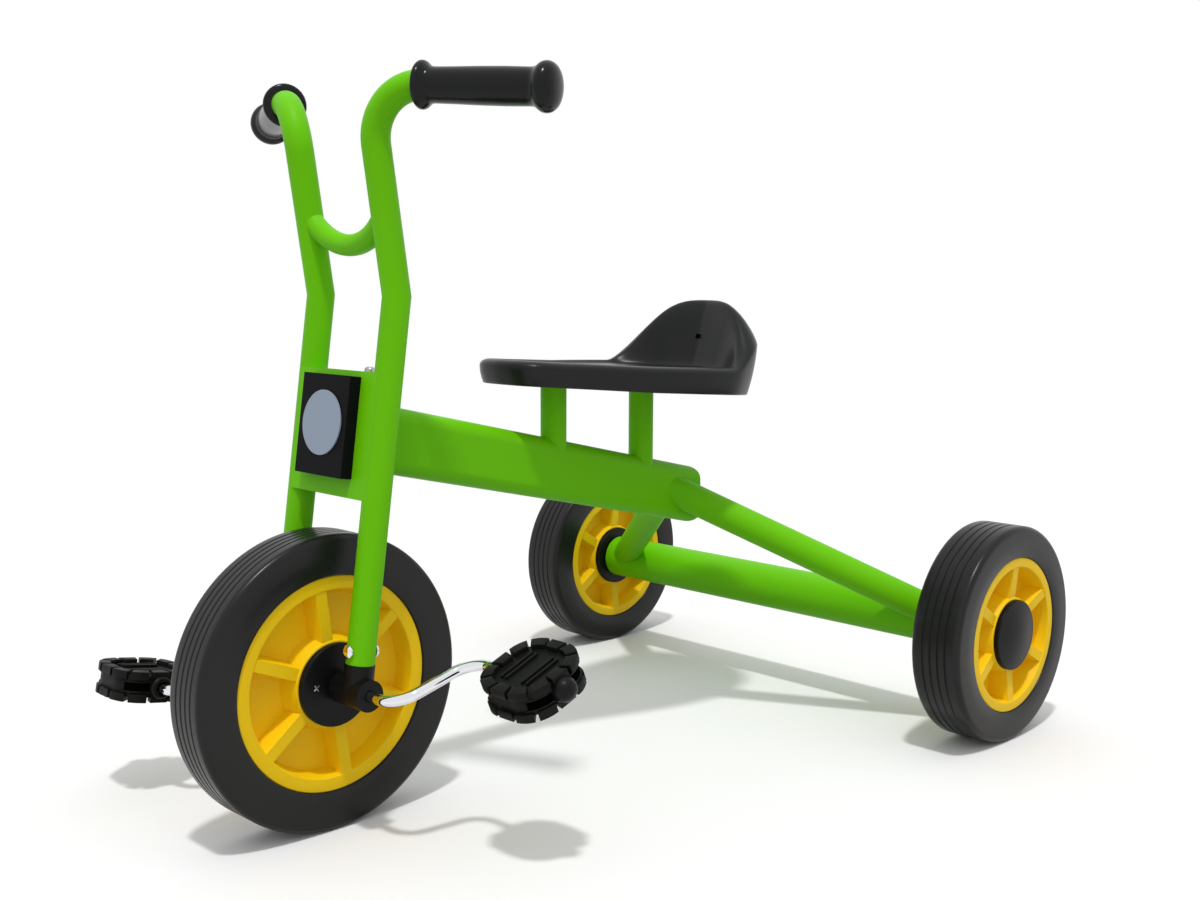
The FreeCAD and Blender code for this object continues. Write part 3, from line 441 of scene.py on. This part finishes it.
def cover_profile(radius, thick, edge, dome=0.0):
    """Disc or dome from its rim to its middle as (height, radius), with a rounded edge."""
    angle = np.linspace(0, np.pi / 2, 6)
    rim = np.stack([thick - edge + edge * np.sin(angle), radius - edge + edge * np.cos(angle)], 1)
    share = np.linspace(0, 1, 14)[1:]
    top = np.stack([thick + dome * np.sin(share * np.pi / 2), (radius - edge) * (1 - share)], 1)
    top[-1, 1] = 0.01 * MM
    return np.concatenate([[(0, 0.01 * MM), (0, radius)], rim, top])


def build_wheel(name, body, tyre_node, centre_node, band, first_spoke, hub_half):
    """Tyre and wheel centre of one wheel, in place of its two nodes."""
    centre, size = middle(tyre_node), extent(tyre_node)
    rim = extent(centre_node)
    tyre = shell(f"{name}_tyre_surface", ring_turned(tyre_profile(size[2] / 2, size[0], rim[2] / 2),
                                                     centre, (1, 0, 0), 160), sharp=25)
    add(tyre, body, "tyre_rubber", tyre_rubber, tyre_node)
    moulding = shell(f"{name}_wheel_moulding", *wheel_sheets(centre, rim[2] / 2, band, rim[0],
                                                             hub_half, first_spoke), sharp=35)
    add(moulding, body, "yellow_plastic", yellow_plastic, centre_node)


cover_radius, cover_thick, cap_dome = 33.5 * MM, 5 * MM, 4.5 * MM
screw_from_middle, screw_half = 20 * MM, 3 * MM

build_wheel("front", "front_wheel", "front_tyre", "front_wheel_centre", band=11 * MM, first_spoke=8,
            hub_half=21 * MM)
for side_name, side in (LEFT, RIGHT):
    build_wheel(f"{side_name}_rear", f"{side_name}_rear_wheel", f"{side_name}_rear_tyre",
                f"{side_name}_rear_wheel_centre", band=9 * MM, first_spoke=0, hub_half=20.8 * MM)
    for node, direction, dome in ((f"{side_name}_rear_hub_cap", side, cap_dome),
                                  (f"{side_name}_rear_inner_cover", -side, 0)):
        low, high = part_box(node)
        base = middle(node)
        base[0] = low[0] if direction > 0 else high[0]
        profile = cover_profile(cover_radius, cover_thick, 1.5 * MM, dome)
        cover = shell(f"{node}_moulding", turned(profile, base, (direction, 0, 0)), sharp=35)
        add(cover, f"{side_name}_rear_wheel", "black_plastic", black_plastic, node)
    node = f"{side_name}_front_hub_cover"
    low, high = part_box(node)
    base = middle(node)
    base[0] = low[0] if side > 0 else high[0]
    profile = cover_profile(cover_radius, cover_thick, 1.2 * MM)
    cover = shell(f"{node}_moulding", turned(profile, base, (side, 0, 0)), sharp=35)
    add(cover, "front_wheel", "black_plastic", black_plastic, node)
    for turn in (1, -1):
        place = base + np.array([side * 4.6 * MM, -screw_from_middle * turn, 1.5 * MM * turn])
        slot_plan = rounded([(-screw_half, -0.55 * MM), (screw_half, -0.55 * MM),
                             (screw_half, 0.55 * MM), (-screw_half, 0.55 * MM)], 0.3 * MM, 3)
        slots = [block(slot_plan, 0, 0.7 * MM, place,
                       ((0, math.cos(a), math.sin(a)), (0, -math.sin(a), math.cos(a)), (side, 0, 0)),
                       edge=0.15 * MM) for a in (0.6, 0.6 + math.pi / 2)]
        screw = shell(f"{node}_screw_{'a' if turn > 0 else 'b'}", *slots)
        add(screw, "front_wheel", "zinc_steel", zinc_steel)

# ---- fork ------------------------------------------------------------------------------------

lean = math.radians(8.6)
upper_leg = np.array([0, -math.sin(lean), math.cos(lean)])
sweep, drop = math.radians(25.5), math.radians(3.1)
leg_foot, kink_up = 22, 308
upper_leg_length, handle_length, handle_bend, grip_start = 159.4 * MM, 139 * MM, 40 * MM, 42 * MM

for side_name, side in (LEFT, RIGHT):
    kink = on_fork(side * leg_x, 0, kink_up)
    corner = kink + upper_leg * upper_leg_length
    handle = np.array([side * math.cos(sweep) * math.cos(drop), math.sin(sweep) * math.cos(drop),
                       -math.sin(drop)])
    path = arc_path([on_fork(side * leg_x, 0, leg_foot), kink, corner,
                     corner + handle * handle_length], [0, handle_bend], 28)
    bar = shell(f"{side_name}_fork_tube_paint", tube(path, leg_radius, 56), sharp=50)
    add(bar, "fork", "green_paint", green_paint, f"{side_name}_fork_tube")
    grip_profile = [(0, 11.4), (0.6, 17), (2.4, 18.2), (4.2, 18.2), (6.2, 17.2), (8, 15.2),
                    (9.5, 13.9), (12, 13.2), (30, 13.5), (50, 14), (70, 14.2), (84, 14), (91, 13.9),
                    (94, 14.4), (96, 16), (98, 17.8), (100.5, 18.6), (103, 18.6), (106, 17.6),
                    (109, 14.8), (111, 10), (112, 4), (112, 0.02)]
    height, radius = np.array(grip_profile).T * MM
    fine = np.linspace(0, 1, 90)
    arc_length = np.concatenate([[0], np.cumsum(np.hypot(np.diff(height), np.diff(radius)))])
    arc_length /= arc_length[-1]
    smooth = np.stack([np.interp(fine, arc_length, height), np.interp(fine, arc_length, radius)], 1)
    for _ in range(2):
        smooth[1:-1] = (smooth[:-2] + 2 * smooth[1:-1] + smooth[2:]) / 4
    closed_profile = np.concatenate([[(2 * MM, 11.35 * MM)], smooth])
    grip = shell(f"{side_name}_grip_moulding",
                 turned(closed_profile, corner + handle * grip_start, handle, 72), sharp=60)
    add(grip, "fork", "grip_rubber", grip_rubber, f"{side_name}_grip")

# ---- crank and pedals ------------------------------------------------------------------------

crank_lift, crank_throw = math.radians(21), 69 * MM
crank_shoulder, crank_outreach, spindle_end = 101 * MM, 115 * MM, 208 * MM
crank_bend, rod_radius = 24 * MM, 4.5 * MM
pedal_set_over = 5 * MM
arm = np.array([0, math.cos(crank_lift), math.sin(crank_lift)]) * crank_throw
across = np.array([1.0, 0, 0])
crank_path = arc_path([front_axle + across * (pedal_set_over - spindle_end) - arm,
                       front_axle - across * crank_outreach - arm,
                       front_axle - across * crank_shoulder,
                       front_axle + across * crank_shoulder,
                       front_axle + across * crank_outreach + arm,
                       front_axle + across * (pedal_set_over + spindle_end) + arm],
                      [crank_bend] * 4, 14)
crank = shell("crank_rod", tube(crank_path, rod_radius, 32))
add(crank, "front_wheel", "chrome", chrome, "crank")


PEDAL_LONG, PEDAL_HALF_WIDE, PEDAL_HALF_THICK, PEDAL_CORNER = 66 * MM, 34 * MM, 13 * MM, 24 * MM
PEDAL_WALL_INSET = 2.8 * MM
PEDAL_INNER_END, PEDAL_BALL_RADIUS = 146 * MM, 10 * MM
LEFT_PEDAL_TILT, RIGHT_PEDAL_TILT = 22, -10
TREAD_BLOCKS, TREAD_BLOCK_DEPTH, TREAD_GAP = 12, 9.5 * MM, 0.09


def pedal_plan(inset, steps):
    """Outline of a pedal from above, drawn in by an inset: an oblong with large round corners."""
    low, high, wide = inset, PEDAL_LONG - inset, PEDAL_HALF_WIDE - inset
    corners = [(low, -wide), (high, -wide), (high, wide), (low, wide)]
    return rounded(corners, PEDAL_CORNER - inset, steps)


def wall_strip(start, end, outset, depth, steps=8):
    """Thin strip along the wall between two bearings from the middle, in degrees."""
    centre = np.array([PEDAL_LONG / 2, 0])
    spokes = pedal_plan(PEDAL_WALL_INSET, 24) - centre
    bearings = np.arctan2(spokes[:, 1], spokes[:, 0])
    chosen = np.radians(np.linspace(start, end, steps))
    reach = np.interp(chosen, bearings, np.linalg.norm(spokes, axis=1), period=2 * np.pi)
    ray = np.stack([np.cos(chosen), np.sin(chosen)], 1)
    return np.concatenate([centre + ray * (reach + outset)[:, None],
                           (centre + ray * (reach - depth)[:, None])[::-1]])


WALL_SLOTS = [(16, 52), (-52, -16), (128, 164), (-164, -128)]
SLOT_HALF_HEIGHT = 3.6 * MM


def pedal_sheets(inner, axes):
    """Slab with twelve stepped tread blocks round each sole, raised bars in pairs across the
    soles, and lips above and below the slots in its walls."""
    sheets = [block(pedal_plan(PEDAL_WALL_INSET, 9), -9 * MM, 9 * MM, inner, axes, 1 * MM)]
    rim = pedal_plan(0, 14)
    closed = np.concatenate([rim, rim[:1]])
    run = np.concatenate([[0], np.cumsum(np.linalg.norm(np.diff(closed, axis=0), axis=1))])
    for number in range(TREAD_BLOCKS):
        share = np.linspace(number + TREAD_GAP, number + 1 - TREAD_GAP, 6) / TREAD_BLOCKS * run[-1]
        outer = np.stack([np.interp(share, run, closed[:, k]) for k in (0, 1)], 1)
        inward = np.array([PEDAL_LONG / 2, 0]) - outer
        inward /= np.linalg.norm(inward, axis=1)[:, None]
        ring = np.concatenate([outer, (outer + inward * TREAD_BLOCK_DEPTH)[::-1]])
        for low, high in ((6 * MM, PEDAL_HALF_THICK), (-PEDAL_HALF_THICK, -6 * MM)):
            sheets.append(block(ring, low, high, inner, axes, 0.6 * MM))
    for sole in (1, -1):
        low, high = sorted((8 * MM * sole, 11.4 * MM * sole))
        for place in (PEDAL_LONG * 0.33, PEDAL_LONG * 0.67):
            for offset in (-2.6 * MM, 2.6 * MM):
                near, far = place + offset - 1 * MM, place + offset + 1 * MM
                bar = rounded([(near, -17 * MM), (far, -17 * MM), (far, 17 * MM), (near, 17 * MM)],
                              0.5 * MM, 3)
                sheets.append(block(bar, low, high, inner, axes, 0.3 * MM))
    for start, end in WALL_SLOTS:
        lip = wall_strip(start - 3, end + 3, 1 * MM, 1 * MM)
        for low, high in ((SLOT_HALF_HEIGHT, 5 * MM), (-5 * MM, -SLOT_HALF_HEIGHT)):
            sheets.append(block(lip, low, high, inner, axes, 0.3 * MM))
    return sheets


for side_name, side in (LEFT, RIGHT):
    inner = front_axle + across * (side * PEDAL_INNER_END + pedal_set_over) + arm * side
    tilt = math.radians(LEFT_PEDAL_TILT if side > 0 else RIGHT_PEDAL_TILT)
    axes = (np.array([side, 0, 0.0]), np.array([0, math.cos(tilt), math.sin(tilt)]),
            np.array([0, -math.sin(tilt), math.cos(tilt)]))
    body = f"{side_name}_pedal_body"
    slab = shell(f"{side_name}_pedal_moulding", *pedal_sheets(inner, axes), sharp=30)
    add(slab, body, "black_plastic", pedal_plastic, f"{side_name}_pedal")
    # The wall slots are not cut: near-black strips on the wall between the lips are painted shade
    # standing in for the dark inside of each slot.
    slot_shade_strips = [block(wall_strip(start, end, 0.3 * MM, 1 * MM), -SLOT_HALF_HEIGHT, SLOT_HALF_HEIGHT,
                    inner, axes, 0.1 * MM) for start, end in WALL_SLOTS]
    slots = shell(f"{side_name}_pedal_slot_painted_shade", *slot_shade_strips)
    add(slots, body, "black_plastic", painted_shade_black)
    for number, place in enumerate((PEDAL_LONG * 0.28, PEDAL_LONG * 0.72)):
        head = shell(f"{side_name}_pedal_screw_{number + 1}",
                     turned(cover_profile(2.2 * MM, 1.2 * MM, 0.4 * MM),
                            inner + axes[0] * place - axes[1] * 21 * MM - side * axes[2] * 8.6 * MM,
                            -side * axes[2], 24))
        add(head, body, "zinc_steel", zinc_steel)
    angle = np.linspace(0, np.pi / 2, 12)
    ball = np.stack([PEDAL_BALL_RADIUS * np.sin(angle),
                     np.maximum(PEDAL_BALL_RADIUS * np.cos(angle), 0.02 * MM)], 1)
    ball = np.concatenate([[(-3 * MM, 0.02 * MM), (-3 * MM, PEDAL_BALL_RADIUS)], ball])
    end = shell(f"{side_name}_pedal_ball", turned(ball, inner + across * side * PEDAL_LONG,
                                                  (side, 0, 0), 48))
    add(end, body, "black_plastic", black_plastic, f"{side_name}_pedal_end")
    boss_profile = [(-3 * MM, 5.4 * MM), (-3 * MM, 8 * MM), (-1.5 * MM, 9.5 * MM), (4 * MM, 9.5 * MM),
                    (4 * MM, 5.4 * MM)]
    boss = shell(f"{side_name}_pedal_boss", ring_turned(rounded(boss_profile, 0.8 * MM), inner,
                                                        (side, 0, 0), 48))
    add(boss, body, "black_plastic", black_plastic)

# ---- seat ------------------------------------------------------------------------------------

SEAT_FRONT, SEAT_REAR = -127.5 * MM, 178 * MM
SEAT_OUTLINE = [(-127.5, 0), (-125, 22), (-115, 38), (-98, 46), (-76, 50), (-30, 66), (18, 80),
                (60, 88), (100, 90), (135, 80), (155, 64), (168, 42), (175, 22), (178, 0)]


def smooth_step(value, start, end):
    """Rise from 0 to 1 between two values, level at both ends."""
    share = np.clip((value - start) / (end - start), 0, 1)
    return share * share * (3 - 2 * share)


def seat_plan(steps=168):
    """Outline of the seat from above: half widths at places along it, evened out."""
    around = np.linspace(0, 2 * np.pi, steps, endpoint=False)
    y = SEAT_FRONT + (SEAT_REAR - SEAT_FRONT) * (1 - np.cos(around)) / 2
    places, widths = np.array(SEAT_OUTLINE).T * MM
    x = np.interp(y, places, widths) * np.where(around <= np.pi, 1, -1)
    plan = np.stack([x, y], 1)
    for _ in range(6):
        plan = (np.roll(plan, 1, 0) + 2 * plan + np.roll(plan, -1, 0)) / 4
    return plan


def seat_surface():
    """Skin of the seat as rings drawn in from its outline: out over the pan, up the back's inner face
    (or the low rim ahead of it), over the crest, down the skirt, and back in underneath."""
    plan = seat_plan()
    spine = np.stack([np.zeros(len(plan)), np.clip(plan[:, 1], -82 * MM, 96 * MM)], 1)
    inward = spine - plan
    reach = np.linalg.norm(inward, axis=1)
    inward /= reach[:, None]
    share = smooth_step(plan[:, 1], 92 * MM, 178 * MM)
    along = (plan[:, 1] - SEAT_FRONT) / (SEAT_REAR - SEAT_FRONT)
    top = (3 + 64 * share) * MM
    crest = (9 + 17 * share) * MM
    foot = (14 + 34 * share ** 0.7) * MM
    tuck = (3 + 7 * share) * MM
    hem = (19 + 6.5 * along ** 1.5) * MM
    widest = top - (6 * (1 - share) + 0.62 * share * top / MM) * MM

    def ring(offset, level):
        offset = np.minimum(np.broadcast_to(offset, len(plan)), reach)
        level = np.broadcast_to(level, len(plan)) + 4.2 * MM * np.clip(-plan[:, 1] / SEAT_REAR, 0, 1)
        return np.concatenate([plan + inward * offset[:, None], level[:, None]], 1)

    rings = [ring(reach + (foot - reach) * t, -1.5 * MM * (1 - t) ** 2)
             for t in (0, 0.25, 0.5, 0.75, 0.92)]
    rings += [ring(foot + (crest - foot) * t, top * (0.5 - 0.5 * np.cos(np.pi * t)))
              for t in np.linspace(0, 1, 12)]
    rings += [ring(crest * (1 - np.sin(a)) ** (1 - 0.5 * share),
                   top + (widest - top) * (1 - np.cos(a)))
              for a in np.linspace(0, np.pi / 2, 10)[1:]]
    rings += [ring(tuck * t ** 1.8, widest * (1 - t) - (hem - 2 * MM) * t)
              for t in np.linspace(0, 1, 8)[1:]]
    rings += [ring(tuck + offset * MM, level * MM - hem)
              for offset, level in ((0.6, 0.5), (2, 0), (3.5, 0.5), (4.5, 4))]
    rings += [ring(tuck + 5 * MM, -5 * MM), ring(reach * 0.6, -5 * MM), ring(reach, -5 * MM)]
    grid = np.array(rings)
    tilt, place_y, height = math.radians(2.5), 29 * MM, 357 * MM
    y, z = grid[..., 1].copy(), grid[..., 2].copy()
    grid[..., 1] = y * math.cos(tilt) + z * math.sin(tilt) + place_y
    grid[..., 2] = -y * math.sin(tilt) + z * math.cos(tilt) + height
    return grid, False, True


seat = shell("seat_moulding", seat_surface(), sharp=75)
add(seat, "frame", "seat_plastic", seat_plastic, "seat")
# The square hole in the seat back is not cut: a small near-black block on the surface is painted
# shade standing in for the opening.
hole_middle = np.array([0, 168.6, 381.9]) * MM
hole_normal = np.array([0, -0.9, 0.44])
hole_normal /= np.linalg.norm(hole_normal)
hole_shade = shell("seat_back_hole_painted_shade", block([(-2 * MM, -2 * MM), (2 * MM, -2 * MM), (2 * MM, 2 * MM),
                                      (-2 * MM, 2 * MM)], -2.5 * MM, 0.25 * MM, hole_middle,
                                     ((1, 0, 0), np.cross(hole_normal, (1, 0, 0)), hole_normal),
                                     edge=0.1 * MM))
add(hole_shade, "frame", "seat_plastic", painted_shade_black)

# ---- carried-over nodes ----------------------------------------------------------------------

for node, width in (("main_beam", 0.4), ("head_plate", 1.2), ("lamp_panel", 0.5), ("lamp_lens", 0.3),
                    ("upper_yoke", 0.6), ("lower_yoke", 0.6), ("left_hub_housing", 0.6),
                    ("right_hub_housing", 0.6), ("rear_axle_tube", 0.5), ("left_stay", 0.3),
                    ("right_stay", 0.3), ("front_seat_post", 0.3), ("rear_seat_post", 0.3),
                    ("handlebar_crossbar", 0.3), ("head_tube", 0.5), ("steering_pin", 0.3),
                    ("steering_nut", 0.4), ("left_housing_bolt", 0.4), ("right_housing_bolt", 0.4)):
    soften(frame["nodes"][node], width * MM)

# ---- floor, light and camera -----------------------------------------------------------------

def studio_floor():
    """Wide level floor."""
    reach = FLOOR_REACH
    corners = [(-reach, -reach, 0), (reach, -reach, 0), (reach, reach, 0), (-reach, reach, 0)]
    return make_object("studio_floor", corners, [(0, 1, 2, 3)], smooth=False)


FLOOR_REACH, FLOOR_FADE = 30.0, (0.9, 2.6)
FLOOR_PALE, FLOOR_BOUNCE = (0.9, 0.9, 0.895, 1), (0.45, 0.45, 0.445, 1)


def background_rays(nodes, links):
    """Value of 1 for the rays that show the background: camera, mirror and see-through rays."""
    path = nodes.new("ShaderNodeLightPath")
    total = path.outputs["Is Camera Ray"]
    for ray in ("Is Glossy Ray", "Is Transmission Ray"):
        either = nodes.new("ShaderNodeMath")
        either.operation = "MAXIMUM"
        links.new(total, either.inputs[0])
        links.new(path.outputs[ray], either.inputs[1])
        total = either.outputs[0]
    return total


def floor_material():
    """Pale floor that keeps soft shadows near the object and turns plain white away from it, and
    throws less light back at the object than it shows."""
    material = bpy.data.materials.new("studio_white")
    material.use_nodes = True
    nodes, links = material.node_tree.nodes, material.node_tree.links
    surface = nodes["Principled BSDF"]
    surface.inputs["Roughness"].default_value = 1.0
    surface.inputs["Specular IOR Level"].default_value = 0.0
    glow = nodes.new("ShaderNodeEmission")
    glow.inputs["Color"].default_value = (1, 1, 1, 1)
    glow.inputs["Strength"].default_value = 1.0
    place, away = nodes.new("ShaderNodeTexCoord"), nodes.new("ShaderNodeVectorMath")
    away.operation = "LENGTH"
    fade = nodes.new("ShaderNodeMapRange")
    fade.interpolation_type = "SMOOTHSTEP"
    fade.inputs["From Min"].default_value, fade.inputs["From Max"].default_value = FLOOR_FADE
    blend = nodes.new("ShaderNodeMixShader")
    seen = background_rays(nodes, links)
    limited = nodes.new("ShaderNodeMath")
    limited.operation = "MULTIPLY"
    tone = nodes.new("ShaderNodeMix")
    tone.data_type = "RGBA"
    tone.inputs["A"].default_value = FLOOR_BOUNCE
    tone.inputs["B"].default_value = FLOOR_PALE
    links.new(seen, tone.inputs["Factor"])
    links.new(tone.outputs["Result"], surface.inputs["Base Color"])
    links.new(place.outputs["Object"], away.inputs[0])
    links.new(away.outputs["Value"], fade.inputs["Value"])
    links.new(fade.outputs["Result"], limited.inputs[0])
    links.new(seen, limited.inputs[1])
    links.new(limited.outputs[0], blend.inputs["Fac"])
    links.new(surface.outputs["BSDF"], blend.inputs[1])
    links.new(glow.outputs["Emission"], blend.inputs[2])
    links.new(blend.outputs["Shader"], nodes["Material Output"].inputs["Surface"])
    return material


floor = studio_floor()
floor.data.materials.append(floor_material())


def area_light(name, place, target, size, power):
    """Square lamp that faces a target."""
    data = bpy.data.lights.new(name, "AREA")
    data.energy, data.size = power, size
    lamp = bpy.data.objects.new(name, data)
    bpy.context.scene.collection.objects.link(lamp)
    lamp.location = place
    lamp.rotation_euler = (Vector(target) - Vector(place)).to_track_quat("-Z", "Y").to_euler()


KEY_PLACE, KEY_TARGET, KEY_SIZE, KEY_POWER = (2.95, -3.15, 11.7), (0, 0, 0.1), 0.7, 720
area_light("key", KEY_PLACE, KEY_TARGET, KEY_SIZE, KEY_POWER)

world = bpy.data.worlds.new("studio_world")
bpy.context.scene.world = world
world.use_nodes = True
nodes, links = world.node_tree.nodes, world.node_tree.links
sky = nodes["Background"]
sky.inputs["Color"].default_value = (1, 1, 1, 1)
place, parts = nodes.new("ShaderNodeTexCoord"), nodes.new("ShaderNodeSeparateXYZ")
height = nodes.new("ShaderNodeMapRange")
HORIZON_STRENGTH, TOP_STRENGTH = 0.5, 0.92
height.inputs["To Min"].default_value = HORIZON_STRENGTH
height.inputs["To Max"].default_value = TOP_STRENGTH
links.new(place.outputs["Generated"], parts.inputs["Vector"])
links.new(parts.outputs["Z"], height.inputs["Value"])
links.new(height.outputs["Result"], sky.inputs["Strength"])
seen = nodes.new("ShaderNodeBackground")
seen.inputs["Color"].default_value = (1, 1, 1, 1)
seen.inputs["Strength"].default_value = 1.0
choose = nodes.new("ShaderNodeMixShader")
links.new(background_rays(nodes, links), choose.inputs["Fac"])
links.new(sky.outputs["Background"], choose.inputs[1])
links.new(seen.outputs["Background"], choose.inputs[2])
links.new(choose.outputs["Shader"], nodes["World Output"].inputs["Surface"])

SENSOR_WIDTH, FOCAL_LENGTH = 36, 42.11
CAMERA_PLACE = (0.93379, -0.89842, 0.44226)
CAMERA_PITCH, CAMERA_HEADING, CAMERA_ROLL = -0.1242, 0.7877, 0.0044
camera_data = bpy.data.cameras.new("camera")
camera_data.sensor_width, camera_data.lens = SENSOR_WIDTH, FOCAL_LENGTH
camera = bpy.data.objects.new("camera", camera_data)
bpy.context.scene.collection.objects.link(camera)
camera.location = CAMERA_PLACE
level_turn = Euler((math.pi / 2 + CAMERA_PITCH, 0, CAMERA_HEADING)).to_matrix()
camera.rotation_euler = (level_turn @ Matrix.Rotation(CAMERA_ROLL, 3, "Z")).to_euler()
bpy.context.scene.camera = camera
bpy.context.scene.view_settings.view_transform = "Standard"
